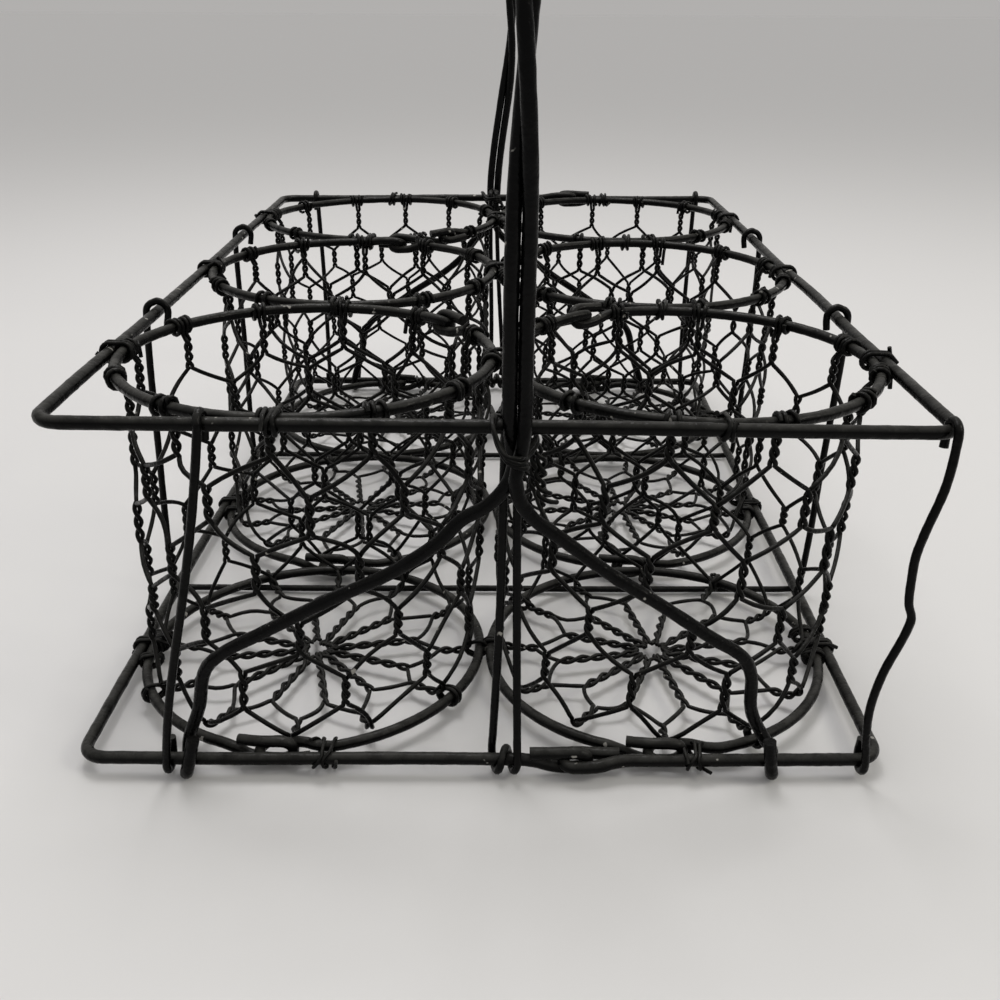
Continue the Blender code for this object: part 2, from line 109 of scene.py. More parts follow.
# %% [markdown]
# ## Black paint on wire
#
# The real caddy was dipped or sprayed black after it was wound. The coat is satin, a little thicker
# in some places than in others, greyish on top, partly from dust and partly from a painted top light
# that stands in for the lamp above, and chipped to a pale spot here and there. An image could hold all
# this, but it would need unwrapping and would blur close up.
# Noise nodes in object space give the same marks at a real size on every wire, with no unwrapping.
# One function mixes them, and each kind of wire asks for its own amount of dust and painted top light, grain
# and chips.

# %% A function that mixes the paint
def painted(name, colour, dust_and_painted_top_light, roughness, grain=1.0, chips=0.5):
    """Satin black paint: colour drifts, dust and a painted top light pale the upward faces, small chips show
    the metal.
    """
    material = bpy.data.materials.new(name)
    material.use_nodes = True
    nodes = material.node_tree.nodes
    links = material.node_tree.links
    shader = nodes["Principled BSDF"]
    shader.inputs["Metallic"].default_value = 0.0
    shader.inputs["Specular IOR Level"].default_value = 0.09
    place = nodes.new("ShaderNodeTexCoord").outputs["Object"]

    def speckle(scale, detail, low, high):
        """Noise at a scale, in grains a metre, stretched so that low becomes 0 and high becomes 1."""
        texture = nodes.new("ShaderNodeTexNoise")
        texture.inputs["Scale"].default_value = scale
        texture.inputs["Detail"].default_value = detail
        links.new(place, texture.inputs["Vector"])
        stretch = nodes.new("ShaderNodeMapRange")
        stretch.inputs["From Min"].default_value = low
        stretch.inputs["From Max"].default_value = high
        links.new(texture.outputs["Fac"], stretch.inputs["Value"])
        return stretch.outputs["Result"]

    def times(first, second):
        product = nodes.new("ShaderNodeMath")
        product.operation = "MULTIPLY"
        product.use_clamp = True
        links.new(first, product.inputs[0])
        if isinstance(second, float):
            product.inputs[1].default_value = second
        else:
            links.new(second, product.inputs[1])
        return product.outputs["Value"]

    def laid_over(amount, under, over):
        mix = nodes.new("ShaderNodeMix")
        mix.data_type = "RGBA"
        links.new(amount, mix.inputs["Factor"])
        for socket, value in (("A", under), ("B", over)):
            target = [item for item in mix.inputs if item.name == socket and item.type == "RGBA"][0]
            if isinstance(value, tuple):
                target.default_value = (*value, 1.0)
            else:
                links.new(value, target)
        return [item for item in mix.outputs if item.type == "RGBA"][0]

    drift = speckle(120, 3, 0.35, 0.65)
    thicker = tuple(0.55 * part for part in colour)
    paint = laid_over(drift, thicker, colour)

    normal = nodes.new("ShaderNodeNewGeometry")
    parts = nodes.new("ShaderNodeSeparateXYZ")
    links.new(normal.outputs["Normal"], parts.inputs["Vector"])
    # Faces turned up are made paler: partly dust, partly a painted top light standing in for the lamp above.
    upward = nodes.new("ShaderNodeMapRange")
    upward.inputs["From Min"].default_value = 0.30
    upward.inputs["From Max"].default_value = 1.0
    links.new(parts.outputs["Z"], upward.inputs["Value"])
    dust_and_top_light_amount = times(times(upward.outputs["Result"], speckle(260, 5, 0.10, 0.62)), dust_and_painted_top_light)
    # This grey is both the dust's colour and the painted light on the tops of the wires.
    paint_with_dust_and_top_light = laid_over(dust_and_top_light_amount, paint, (0.070, 0.069, 0.063))

    chip = times(speckle(330, 2, 0.735 - 0.03 * chips, 0.765 - 0.03 * chips), 0.75)
    links.new(laid_over(chip, paint_with_dust_and_top_light, (0.34, 0.33, 0.30)), shader.inputs["Base Color"])

    rough = nodes.new("ShaderNodeMapRange")
    rough.inputs["To Min"].default_value = roughness - 0.09
    rough.inputs["To Max"].default_value = roughness + 0.14
    links.new(speckle(420, 4, 0.30, 0.70), rough.inputs["Value"])
    links.new(rough.outputs["Result"], shader.inputs["Roughness"])

    orange_peel = nodes.new("ShaderNodeBump")
    orange_peel.inputs["Strength"].default_value = 0.55 * grain
    orange_peel.inputs["Distance"].default_value = 0.00012
    links.new(speckle(1300, 3, 0.2, 0.8), orange_peel.inputs["Height"])
    runs = nodes.new("ShaderNodeBump")
    runs.inputs["Strength"].default_value = 0.5 * grain
    runs.inputs["Distance"].default_value = 0.0005
    links.new(speckle(300, 2, 0.2, 0.8), runs.inputs["Height"])
    links.new(orange_peel.outputs["Normal"], runs.inputs["Normal"])
    links.new(runs.outputs["Normal"], shader.inputs["Normal"])
    return material


# The third number is how much dust and painted top light each kind of wire gets.
PAINT = {
    "rail_paint": painted("black_paint_on_rails", (0.0018, 0.0018, 0.0017), 0.62, 0.26, chips=0.8),
    "ring_paint": painted("black_paint_on_rings", (0.0019, 0.0019, 0.0018), 0.68, 0.27, chips=0.6),
    "net_paint": painted("black_paint_on_netting", (0.0016, 0.0016, 0.0015), 0.40, 0.27, grain=1.4, chips=0.2),
    "handle_paint": painted("black_paint_on_handle", (0.0013, 0.0013, 0.0014), 0.10, 0.24, chips=0.2),
    "post_paint": painted("black_paint_on_posts", (0.0016, 0.0016, 0.0016), 0.45, 0.26, chips=0.4),
    "tie_paint": painted("black_paint_on_ties", (0.0016, 0.0016, 0.0015), 0.40, 0.27, grain=1.3, chips=0.3),
}
print("paints mixed:", ", ".join(PAINT))

# %% [markdown]
# ## Bending a wire
#
# Wire in a maker's hands bends in smooth sweeps between a few chosen places. Blender's Bezier curves
# would do this by hand, but here each place comes from the sizes, so a function draws the sweeps:
# it gives every place a direction halfway between its two neighbours and joins them with Bezier
# segments. A second function turns such a line into a curve object of the right thickness. Paint
# is never quite even, so the radius swells and thins by a few hundredths along the way.

# %% Smooth sweeps and a wire along them
def bend_through(places, step=0.8):
    """A smooth line through chosen places, with a point about every step millimetres."""
    places = [Vector(place) for place in places]
    headings = []
    for index, place in enumerate(places):
        before = (place - places[max(0, index - 1)]).normalized()
        after = (places[min(len(places) - 1, index + 1)] - place).normalized()
        headings.append((before + after).normalized())
    line = []
    for start, end, leave, arrive in zip(places, places[1:], headings, headings[1:]):
        reach = (end - start).length / 3
        count = max(2, round(3 * reach / step))
        line += interpolate_bezier(start, start + leave * reach, end - arrive * reach, end, count + 1)[:-1]
    return line + [places[-1]]


DRIFT_OFFSETS = ((3.1, 7.7, 1.3), (11.9, 2.3, 5.9), (8.3, 13.7, 9.1))


def hand_made(place):
    """Moves a place a little, and its neighbours alike, as hand work and use have done.

    The foot of the front stands a few millimetres to the left, and the upper frame dips at its
    front right corner. Over both lies a drift of less than a millimetre.
    """
    front = min(1.0, max(0.0, 0.5 - place.y / (2 * HALF_Y)))
    high = min(1.0, max(0.0, place.z / HIGH_Z))
    right = min(1.0, max(0.0, 0.5 + place.x / (2 * HALF_X)))
    spot = place / 60.0
    drift = [noise.noise(spot + Vector(offset)) for offset in DRIFT_OFFSETS]
    above_table = min(1.0, max(0.0, (place.z - 6.0) / 20.0))
    sideways = -FOOT_LEAN * front * (1 - high) + 0.8 * drift[0]
    upwards = -CORNER_DIP * front * right * high * high + 0.6 * drift[2] * above_table
    return place + Vector((sideways, 0.8 * drift[1], upwards))


def draw_wire(node, lines, thickness, paint, sides=10, uneven=0.04):
    """A curve object with one spline for each line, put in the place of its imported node."""
    curve = bpy.data.curves.new(node + "_wire", "CURVE")
    curve.dimensions = "3D"
    curve.bevel_depth = thickness / 2 * MM
    curve.bevel_resolution = sides // 2 - 2
    curve.use_fill_caps = True
    for line in lines:
        spline = curve.splines.new("POLY")
        spline.points.add(len(line) - 1)
        for spot, place in zip(spline.points, line):
            spot.co = (*(hand_made(Vector(place)) * MM), 1.0)
            bumps = noise.noise(Vector(place) / 3.0) + noise.noise(Vector(place) / 0.9)
            spot.radius = 1.0 + uneven * bumps
    curve.materials.append(PAINT[paint])
    piece = bpy.data.objects.new(node + "_wire", curve)
    bpy.context.scene.collection.objects.link(piece)
    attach(piece, "root")
    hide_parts(node)
    return piece


# %% [markdown]
# ## A closed loop of wire that holds itself shut
#
# The frames and the rings are each one length of wire. Each end is bent back on itself into a
# narrow hook, and the two hooks catch in each other like links of a chain, which holds without weld
# or solder. Both hooks are the same bend: the wire sinks a little to one side, turns round in half
# a circle and comes back on the other side. The second one is mirrored along the wire and turned by
# a quarter about it, and that quarter turn is what lets one pass through the other.

# %% The two hooks of a closed wire
def hook_marks(length, overlap, grip):
    """A hook seen from its side, as places (along, lift). It reaches half the overlap past 0."""
    centre = overlap / 2 - grip
    start = -overlap / 2
    marks = [(start - 9.0, 0.0), (start - 5.5, -0.3 * grip), (start - 2.5, -0.8 * grip)]
    marks.append((start + 0.3 * overlap, -grip))
    for degrees in range(-90, 91, 30):
        turn = math.radians(degrees)
        marks.append((centre + grip * math.cos(turn), grip * math.sin(turn)))
    marks.append((0.5 * centre - 0.5 * length, 0.95 * grip))
    marks.append((-length, 0.85 * grip))
    return marks


def closed_wire(outline, lengths, overlap, grip, tilt, quarter=-1):
    """Wire round a closed flat outline, whose ends hook into each other at its first point."""
    count = len(outline)
    spacing = sum((outline[(i + 1) % count] - outline[i]).length for i in range(count)) / count
    up = Vector((0.0, 0.0, 1.0))

    def place_at(along, lift, angle):
        whole, share = divmod(along / spacing, 1.0)
        here = outline[int(whole) % count]
        ahead = outline[(int(whole) + 1) % count]
        outward = (ahead - here).normalized().cross(up)
        return here.lerp(ahead, share) + lift * (math.cos(angle) * outward + math.sin(angle) * up)

    first, last = lengths
    turned = tilt + quarter * math.pi / 2
    arriving = [place_at(along, lift, tilt) for along, lift in hook_marks(first, overlap, grip)]
    leaving = [place_at(-along, lift, turned) for along, lift in hook_marks(last, overlap, grip)]
    skipped = round((overlap / 2 + 11.0) / spacing)
    return bend_through(leaving[::-1] + outline[skipped:count - skipped + 1:2] + arriving)


def flat_circle(centre, radius, first_angle, spacing=1.0):
    count = round(2 * math.pi * radius / spacing)
    turn = 2 * math.pi / count
    points = []
    for index in range(count):
        angle = first_angle + turn * index
        points.append(centre + radius * Vector((math.cos(angle), math.sin(angle), 0.0)))
    return points


def flat_frame(z, closure_x, front, spacing=1.0):
    """A rectangle with round corners, once round, from a place on its front or back rail."""
    corners = []
    for quarter, (x, y) in enumerate(((1, -1), (1, 1), (-1, 1), (-1, -1))):
        middle = Vector((x * (HALF_X - CORNER_RADIUS), y * (HALF_Y - CORNER_RADIUS), z))
        for step in range(9):
            angle = math.pi / 2 * (quarter - 1 + step / 8)
            corners.append(middle + CORNER_RADIUS * Vector((math.cos(angle), math.sin(angle), 0.0)))
    start = Vector((closure_x, -HALF_Y, z))
    path = [start] + corners + [start]
    lengths = [0.0]
    for before, after in zip(path, path[1:]):
        lengths.append(lengths[-1] + (after - before).length)
    count = round(lengths[-1] / spacing)
    points = []
    segment = 0
    for index in range(count):
        target = lengths[-1] * index / count
        while lengths[segment + 1] < target:
            segment += 1
        share = (target - lengths[segment]) / (lengths[segment + 1] - lengths[segment])
        point = path[segment].lerp(path[segment + 1], share)
        points.append(point if front else Vector((-point.x, -point.y, z)))
    return points


# %% [markdown]
# ## The two frames
#
# Each frame is a rod of nearly three millimetres, bent at four corners. The lower one is hooked
# shut in front, to the right of the middle, the upper one at the back. They could be made from a
# rounded rectangle and a bevel, but then the hooks would be missing, and they are what shows that
# this is bent rod and not a casting.

# %% Draw the frames
lower_frame = flat_frame(LOW_Z, 21.1, True)
line = closed_wire(lower_frame, (10.0, 9.5), 5.2, 2.15, math.radians(80), quarter=1)
draw_wire("bottom_frame", [line], RAIL_WIRE, "rail_paint", 12)
upper_frame = flat_frame(HIGH_Z, -28.0, False)
line = closed_wire(upper_frame, (9.0, 9.0), 6.0, 2.15, math.radians(50))
draw_wire("top_frame", [line], RAIL_WIRE, "rail_paint", 12)
print("length of rod in each frame:", round(len(lower_frame)), "mm")

# %% [markdown]
# ## Rings at the rim and at the foot
#
# Every cup hangs in a ring and stands in another. The rings are thinner than the frames and are
# shut by the same two hooks. A torus would be one click, but it has no ends. On the rim the hooks
# have to fall between two places where the netting is wound on, so their angle is counted from
# those places. Each cup was wound with its netting turned a little differently, which the table
# records.

# %% Draw the rings
COLUMNS = {"left": -PITCH / 2, "right": PITCH / 2}
ROWS = {"front": -PITCH, "middle": 0.0, "back": PITCH}
SLOTS = 12
SLOT_TURN = 2 * math.pi / SLOTS
NET_TURNED = {
    "front_left": math.radians(27),
    "front_right": math.radians(17),
    "middle_left": math.radians(32),
    "middle_right": math.radians(14),
    "back_left": math.radians(22),
    "back_right": math.radians(9),
}
RIM_HOOK_SLOTS = {
    "front_left": 0.64,
    "front_right": 3.5,
    "middle_left": 1.5,
    "middle_right": 4.5,
    "back_left": 9.5,
    "back_right": 6.5,
}
FOOT_HOOKS_AT = math.radians(267.3)

for row, y in ROWS.items():
    for column, x in COLUMNS.items():
        cup = f"{row}_{column}"
        rim_angle = NET_TURNED[cup] + RIM_HOOK_SLOTS[cup] * SLOT_TURN
        rim = flat_circle(Vector((x, y, HIGH_Z)), RING_RADIUS, rim_angle)
        line = closed_wire(rim, (6.5, 6.5), 4.0, 2.1, math.radians(62))
        draw_wire("rim_ring_" + cup, [line], RING_WIRE, "ring_paint", 12)
        foot_angle = FOOT_HOOKS_AT if y < PITCH / 2 else -FOOT_HOOKS_AT
        foot = flat_circle(Vector((x, y, LOW_Z)), RING_RADIUS, foot_angle)
        line = closed_wire(foot, (8.6, 7.5), 7.4, 2.55, math.radians(80))
        draw_wire("base_ring_" + cup, [line], RING_WIRE, "ring_paint", 12)
print("rings drawn:", 2 * len(ROWS) * len(COLUMNS))

# %% [markdown]
# ## The sheet that the netting lies in
#
# Hexagonal netting is a sheet before it is a cup. It hangs down the wall, turns in at the foot and
# is drawn together in the middle of the floor. It is easiest to think of it flat, with an angle
# round the cup and a length down from the rim, and to bend that flat picture afterwards.
# This function does the bending: it takes a place in the flat picture and gives a place in space,
# with room to step out of the sheet and sideways, which the twists will need.

# %% From the flat sheet to the cup
NET_RADIUS = 38.9
NET_FOLD = 4.0
FLOOR_Z = 3.6
WALL = HIGH_Z - FLOOR_Z - NET_FOLD
FOLD_LENGTH = NET_FOLD * math.pi / 2


def on_sheet(middle, angle, down, out=0.0, aside=0.0):
    """A place on the cup: down is the length from the rim along wall, fold and floor."""
    lean = min(1.0, max(0.0, (down - WALL) / FOLD_LENGTH)) * math.pi / 2
    radius = NET_RADIUS - NET_FOLD + NET_FOLD * math.cos(lean) - max(0.0, down - WALL - FOLD_LENGTH)
    z = HIGH_Z - min(down, WALL) - NET_FOLD * math.sin(lean)
    outward = Vector((math.cos(angle), math.sin(angle), 0.0))
    around = Vector((-math.sin(angle), math.cos(angle), 0.0))
    normal = outward * math.cos(lean) - Vector((0.0, 0.0, math.sin(lean)))
    return middle + outward * radius + Vector((0.0, 0.0, z)) + normal * out + around * aside


# %% [markdown]
# ## One wire of the netting
#
# A netting machine twists each wire with its neighbour for three half turns, then with the next
# neighbour, and so on. Because the half turns are odd in number, a wire leaves each twist on the far
# side and simply keeps travelling the same way round. So the whole net is two families of
# wires, one going left and one going right, and they meet in every twist. That is far simpler to
# write than hexagons: one function draws one wire, from its coil on the rim to the middle of
# the floor, and the hexagons appear by themselves.

# %% The path of one wire
TWISTS = ((3.0, 10.0), (16.5, 24.5), (31.0, 39.0), (45.5, 53.5), (60.0, 68.0), (76.5, 86.0))
SPOKE = (91.5, 112.0)
HALF_TURNS = 3
SPOKE_HALF_TURNS = 5
TWIST_RADIUS = 0.56
COIL_RADIUS = RING_WIRE / 2 + NET_WIRE / 2 + 0.05
COIL_ADVANCE = 1.15


def rim_coil(middle, angle, way, turns, slack, chance):
    """The end of a net wire, from its free tip round the rim to the inside of the cup."""
    first = math.radians(-50)
    steps = round(12 * turns)
    line = []
    for step in range(steps, -1, -1):
        turned = turns * step / steps
        round_rim = first + 2 * math.pi * turned
        radius = COIL_RADIUS + slack * max(0.0, turned - turns + 0.3)
        along = -way * (0.55 + COIL_ADVANCE * turned) / RING_RADIUS
        out = RING_RADIUS - radius * math.cos(round_rim)
        z = HIGH_Z + radius * math.sin(round_rim)
        line.append(middle + Vector((out * math.cos(angle + along), out * math.sin(angle + along), z)))
    if chance.random() < 0.22:
        sideways = Vector((chance.uniform(-1.2, 1.2), chance.uniform(-1.2, 1.2), 0.0))
        hanging = line[0] + sideways - Vector((0.0, 0.0, chance.uniform(2.0, 5.0)))
        line = bend_through([hanging, line[0]])[:-1] + line
    return line


def twist(middle, angle, top, foot, way, half_turns, bulge):
    """One wire's share of a twist: it circles the other wire while both go down the sheet."""
    steps = 7 * half_turns
    line = []
    for step in range(steps + 1):
        share = step / steps
        phase = math.pi * half_turns * share
        aside = -way * TWIST_RADIUS * math.cos(phase)
        out = way * TWIST_RADIUS * math.sin(phase) + bulge
        line.append(on_sheet(middle, angle, top + (foot - top) * share, out, aside))
    return line


def net_wire(middle, turned, slot, way, knots, chance):
    """From the rim to the floor's middle. knots says how far each twist strays from its slot."""
    line = []
    before = None
    rows = TWISTS + (SPOKE,)
    for row, (top, foot) in enumerate(rows):
        place = (2 * slot + way * row) % (2 * SLOTS)
        stray_angle, stray_top, stray_foot, bulge = knots[row, place]
        angle = turned + (2 * slot + way * row) * SLOT_TURN / 2 + stray_angle
        top += stray_top
        foot += stray_foot
        if row == 0:
            turns = chance.uniform(0.95, 1.7)
            tail = chance.uniform(0.2, 2.0)
            line += rim_coil(middle, angle, way, turns, tail, chance)
        else:
            last_angle, last_foot, last_bulge = before
            bow = chance.gauss(0.0, 0.6)
            dent = chance.gauss(0.0, 0.5)
            for share in (0.12, 0.3, 0.5, 0.7, 0.88):
                down = last_foot + (top - last_foot) * share
                aside = way * TWIST_RADIUS * (1 - 2 * share) + bow * math.sin(math.pi * share)
                out = last_bulge + (bulge - last_bulge) * share + dent * math.sin(math.pi * share)
                line.append(on_sheet(middle, last_angle + (angle - last_angle) * share, down, out, aside))
        half_turns = SPOKE_HALF_TURNS if row == len(rows) - 1 else HALF_TURNS
        line += twist(middle, angle, top, foot, way, half_turns, bulge)
        before = (angle, foot, bulge)
    for share in (0.35, 0.7, 1.0):
        angle = before[0] + way * SLOT_TURN / 2 * share
        line.append(on_sheet(middle, angle, before[1] + 1.3 * math.sin(share * math.pi / 2), -0.2))
    return line


# %% [markdown]
# ## Six cups of netting
#
# Real netting is never even: the twists sit a little high or low and lean off their line. The two
# wires of a twist must stray together, or they would part, so the straying is drawn once for each
# twist and looked up by both wires. The wall also bellies out here and there, and the whole net
# leans round its cup by a few degrees from rim to floor. A seeded random generator gives each cup
# its own net and still the same net on every run. At a few twists, and most of all beside the
# outer rail, thin wire also holds the net to the foot ring.

# %% Wind the netting
def net_knots(lean, chance):
    """How each twist strays: round the cup, at its top, at its foot, and outwards."""
    knots = {}
    last = len(TWISTS)
    belly = [chance.uniform(-0.4, 2.6) for _ in range(6)]
    for row in range(last + 1):
        for place in range(2 * SLOTS):
            sector, share = divmod(place / 4, 1.0)
            swell = belly[int(sector)] * (1 - share) + belly[(int(sector) + 1) % 6] * share
            out = swell * math.sin(math.pi * min(1.0, (row + 0.25) / 5)) + chance.gauss(0.0, 0.15)
            sideways = chance.gauss(0.0, 0.7) / NET_RADIUS + lean * row / last
            if row == 0:
                knots[row, place] = (sideways, 0.0, chance.gauss(0.0, 0.6), 0.0)
            elif row == last:
                knots[row, place] = (sideways, chance.gauss(0.0, 0.8), chance.uniform(-1.6, 0.4), 0.0)
            elif row == last - 1:
                knots[row, place] = (sideways, chance.gauss(0.0, 0.8), chance.gauss(0.0, 0.8), 0.0)
            else:
                knots[row, place] = (sideways, chance.gauss(0.0, 0.8), chance.gauss(0.0, 0.8), out)
    return knots


def foot_loop(middle, angle, turns, chance):
    """A turn or two of thin wire round the foot ring and the netting beside it."""
    radius = COIL_RADIUS + 0.1
    line = []
    steps = round(14 * turns)
    for step in range(steps + 1):
        turned = 2 * math.pi * turns * step / steps + 2.4
        along = (step / steps - 0.5) * turns * COIL_ADVANCE / RING_RADIUS
        wide = 1.0 if math.cos(turned) > 0 else 1.75
        out = RING_RADIUS + radius * wide * math.cos(turned)
        z = LOW_Z + radius * math.sin(turned)
        line.append(middle + Vector((out * math.cos(angle + along), out * math.sin(angle + along), z)))
    tail = line[-1] - line[-2]
    line.append(line[-1] + tail.normalized() * chance.uniform(0.8, 2.5))
    return line


NET_LEAN = {
    "front_left": math.radians(-15),
    "front_right": math.radians(-5),
    "middle_left": math.radians(6),
    "middle_right": math.radians(-8),
    "back_left": math.radians(4),
    "back_right": math.radians(9),
}
net_lines = {}
for number, (row, y) in enumerate(ROWS.items()):
    for column, x in COLUMNS.items():
        cup = f"{row}_{column}"
        chance = random.Random(40 + 2 * number + (column == "right"))
        middle = Vector((x, y, 0.0))
        knots = net_knots(NET_LEAN[cup], chance)
        lines = []
        for slot in range(SLOTS):
            for way in (1, -1):
                lines.append(net_wire(middle, NET_TURNED[cup], slot, way, knots, chance))
        for slot in chance.sample(range(SLOTS), 5):
            angle = NET_TURNED[cup] + (slot + 0.5) * SLOT_TURN + knots[5, 2 * slot + 1][0]
            lines.append(foot_loop(middle, angle, chance.uniform(1.1, 2.1), chance))
        for turned in (-0.10, 0.16):
            angle = (math.pi if column == "left" else 0.0) + turned
            lines.append(foot_loop(middle, angle, chance.uniform(1.8, 3.0), chance))
        net_lines[cup] = lines
        draw_wire(f"net_cup_{row}_{column}", lines, NET_WIRE, "net_paint", 8, uneven=0.07)
points = sum(len(line) for lines in net_lines.values() for line in lines)
print("wires in the netting:", sum(len(lines) for lines in net_lines.values()), "with", points, "points")

# %% [markdown]
# ## The handle
#
# Two rods rise side by side in front, wind round each other over the arch and come down at the
# back. Below the upper frame they part, sweep outwards, and hook under the lower frame as the
# caddy's feet. The arch is a curve between an ellipse and a rectangle, a so called superellipse,
# whose one exponent says how square its shoulders are. The pair is drawn from that one line: each
# rod keeps half a wire's width from it and turns round it. Carrying has bent the arch to one side
# by a few millimetres, and the sway says how far at which height.

# %% The arch and its two rods
HANDLE_TOP = 250.0
BELLY_Z = 135.0
BELLY = 3.0
SQUARENESS = 2.6
HANDLE_HALF_TURNS = 4
HANDLE_STRAIGHT = 36.0
FORK_ASIDE = 3.1
FRONT_SWAY = 0.5
BACK_ASIDE = -1.5
BACK_SWAY = 6.6
FORK_TURN = math.radians(84)
FACE_Y = HALF_Y + RAIL_WIRE / 2 + 0.15 + HANDLE_WIRE / 2


def arch_line():
    """The middle of the pair, from the front rail over the top to the back rail."""
    rise = HANDLE_TOP - HANDLE_WIRE / 2 - BELLY_Z
    half = []
    for step in range(40):
        left = 1 - step / 40
        half.append((FACE_Y + BELLY - BELLY * left * left, BELLY_Z - (BELLY_Z - HIGH_Z) * left))
    for step in range(121):
        angle = math.pi / 2 * step / 120
        y = (FACE_Y + BELLY) * math.cos(angle) ** (2 / SQUARENESS)
        half.append((y, BELLY_Z + rise * math.sin(angle) ** (2 / SQUARENESS)))
    front = [Vector((0.0, -y, z)) for y, z in half]
    return front + [Vector((0.0, y, z)) for y, z in reversed(half[:-1])]


def evenly(path, spacing):
    lengths = [0.0]
    for before, after in zip(path, path[1:]):
        lengths.append(lengths[-1] + (after - before).length)
    count = round(lengths[-1] / spacing)
    points = []
    segment = 0
    for index in range(count + 1):
        target = lengths[-1] * index / count
        while lengths[segment + 1] < target and segment < len(path) - 2:
            segment += 1
        share = (target - lengths[segment]) / (lengths[segment + 1] - lengths[segment])
        points.append(path[segment].lerp(path[segment + 1], share))
    return points


arch = evenly(arch_line(), 1.6)
print("length of the arch above the rails:", round(1.6 * len(arch)), "mm")


def eased(value, low, high):
    """0 below low, 1 above high, and a smooth rise between them."""
    share = min(1.0, max(0.0, (value - low) / (high - low)))
    return share * share * (3 - 2 * share)


def arch_sway(place, share):
    """How far the arch has been bent to the right: early in front, later and further behind."""
    front = FORK_ASIDE + FRONT_SWAY * eased(place.z, 76.0, 128.0)
    back = BACK_ASIDE + BACK_SWAY * eased(place.z, 84.0, 148.0)
    return front * (1 - share) + back * share


def twisted_rod(side):
    """One rod of the pair. At the fork it lies before or behind the other, higher up beside it."""
    total = len(arch) - 1
    span = total / 2 - HANDLE_STRAIGHT / 1.6
    across = Vector((1.0, 0.0, 0.0))
    line = []
    for index, straight in enumerate(arch):
        along = (arch[min(total, index + 1)] - arch[max(0, index - 1)]).normalized()
        outward = across.cross(along)
        share = max(-1.0, min(1.0, (index - total / 2) / span))
        fork_turn = FORK_TURN * (1 - eased(straight.z, 71.0, 90.0))
        angle = math.pi * HANDLE_HALF_TURNS * share + fork_turn
        around = math.cos(angle) * across + math.sin(angle) * outward
        place = straight + across * arch_sway(straight, index / total)
        place += outward * HANDLE_WIRE / 2 * math.sin(fork_turn)
        line.append(place + side * 1.02 * HANDLE_WIRE / 2 * around)
    return line


# %% [markdown]
# ## How the rods leave the pair
#
# Below the rail the two rods fork, the right one in front of the left. Each runs down and
# outwards in one sweep, bends sharply about
# thirty millimetres above the table, drops behind the lower rail, turns under it and ends in a short
# stub in front. The stub's underside is what the caddy stands on. The places below are the ones
# a maker would mark before bending: the fork, the sweep's middle, the knee and the turn.

# %% The fork, the knee and the foot
FOOT_X = HALF_X - 25.85
KNEE_X = FOOT_X - 5.5
KNEE_Z = 29.3
FORK_Z = HIGH_Z - 8.5
BOTH_Z = HIGH_Z - 13.5
STUB_TOP = 11.5


def splayed_leg(side, end, knee_x, kick, bow):
    """From just under the upper rail to the stub in front of the lower one.

    kick is how far the turn under the rail stands further out than the stub's tip, and bow how
    far the piece between knee and foot bends outwards.
    """
    hook = RAIL_WIRE / 2 + ROOM / 2 + HANDLE_WIRE / 2
    behind = HALF_Y - hook - 0.1
    drop = FORK_Z - KNEE_Z
    aside = FORK_ASIDE if end < 0 else BACK_ASIDE
    before = HANDLE_WIRE if side > 0 else 0.0
    wider, shallow, both_z = (1.28, 0.365, BOTH_Z + 2.0) if side < 0 else (1.2, 0.38, BOTH_Z)
    marks = [
        (0.1, 0.0, both_z + 5.0, 1.0),
        (0.7 * wider, 0.0, both_z + 1.5, 1.0),
        (1.9 * wider, 0.0, both_z - 1.3, 0.9),
        (3.9 * wider, 0.0, both_z - 4.0, 0.7),
        (7.1 * wider, 0.0, both_z - 6.8, 0.5),
        (0.22 * knee_x, 0.0, FORK_Z - 0.325 * drop, 0.3),
        (shallow * knee_x, 0.1, FORK_Z - 0.48 * drop, 0.1),
        (0.615 * knee_x, 0.28, FORK_Z - 0.67 * drop, 0.0),
        (0.83 * knee_x, 0.45, FORK_Z - 0.85 * drop, 0.0),
        (0.965 * knee_x, 0.56, FORK_Z - 0.965 * drop, 0.0),
        (knee_x + 0.9 + 0.5 * bow, 0.64, KNEE_Z - 2.4, 0.0),
        (0.4 * knee_x + 0.6 * FOOT_X + bow, 0.82, 16.0, 0.0),
        (FOOT_X + 0.6 * kick + 0.6 * bow, 1.0, LOW_Z + 3.0, 0.0),
    ]
    places = []
    for x, back, z, near in marks:
        shift = aside * (0.6 * eased(z, KNEE_Z, 56.0) + 0.4 * eased(z, 56.0, 68.0))
        out = FACE_Y + (behind - FACE_Y) * back + before * near
        places.append(Vector((side * x + shift, end * out, z)))
    for step in range(7):
        angle = math.pi * (1 + step / 6)
        out = HALF_Y + (hook + 0.1) * math.cos(angle)
        z = max(HANDLE_WIRE / 2, LOW_Z + hook * math.sin(angle))
        x = FOOT_X + kick * (1 - 0.5 * (step / 6) ** 2)
        places.append(Vector((side * x, end * out, z)))
    places.append(Vector((side * FOOT_X, end * (HALF_Y + hook + 0.1), STUB_TOP)))
    return bend_through(places)


for name, side, knee_x, bow in (("left", -1, KNEE_X + 1.3, 1.5), ("right", 1, KNEE_X - 0.4, -1.2)):
    front = splayed_leg(side, -1, knee_x, 3.0, bow)
    back = splayed_leg(side, 1, KNEE_X, 1.5, 0.0)
    rod = list(reversed(front)) + twisted_rod(side) + back
    draw_wire("handle_strand_" + name, [rod], HANDLE_WIRE, "handle_paint", 12)
    print("length of the", name, "rod:", round(sum((b - a).length for a, b in zip(rod, rod[1:]))), "mm")

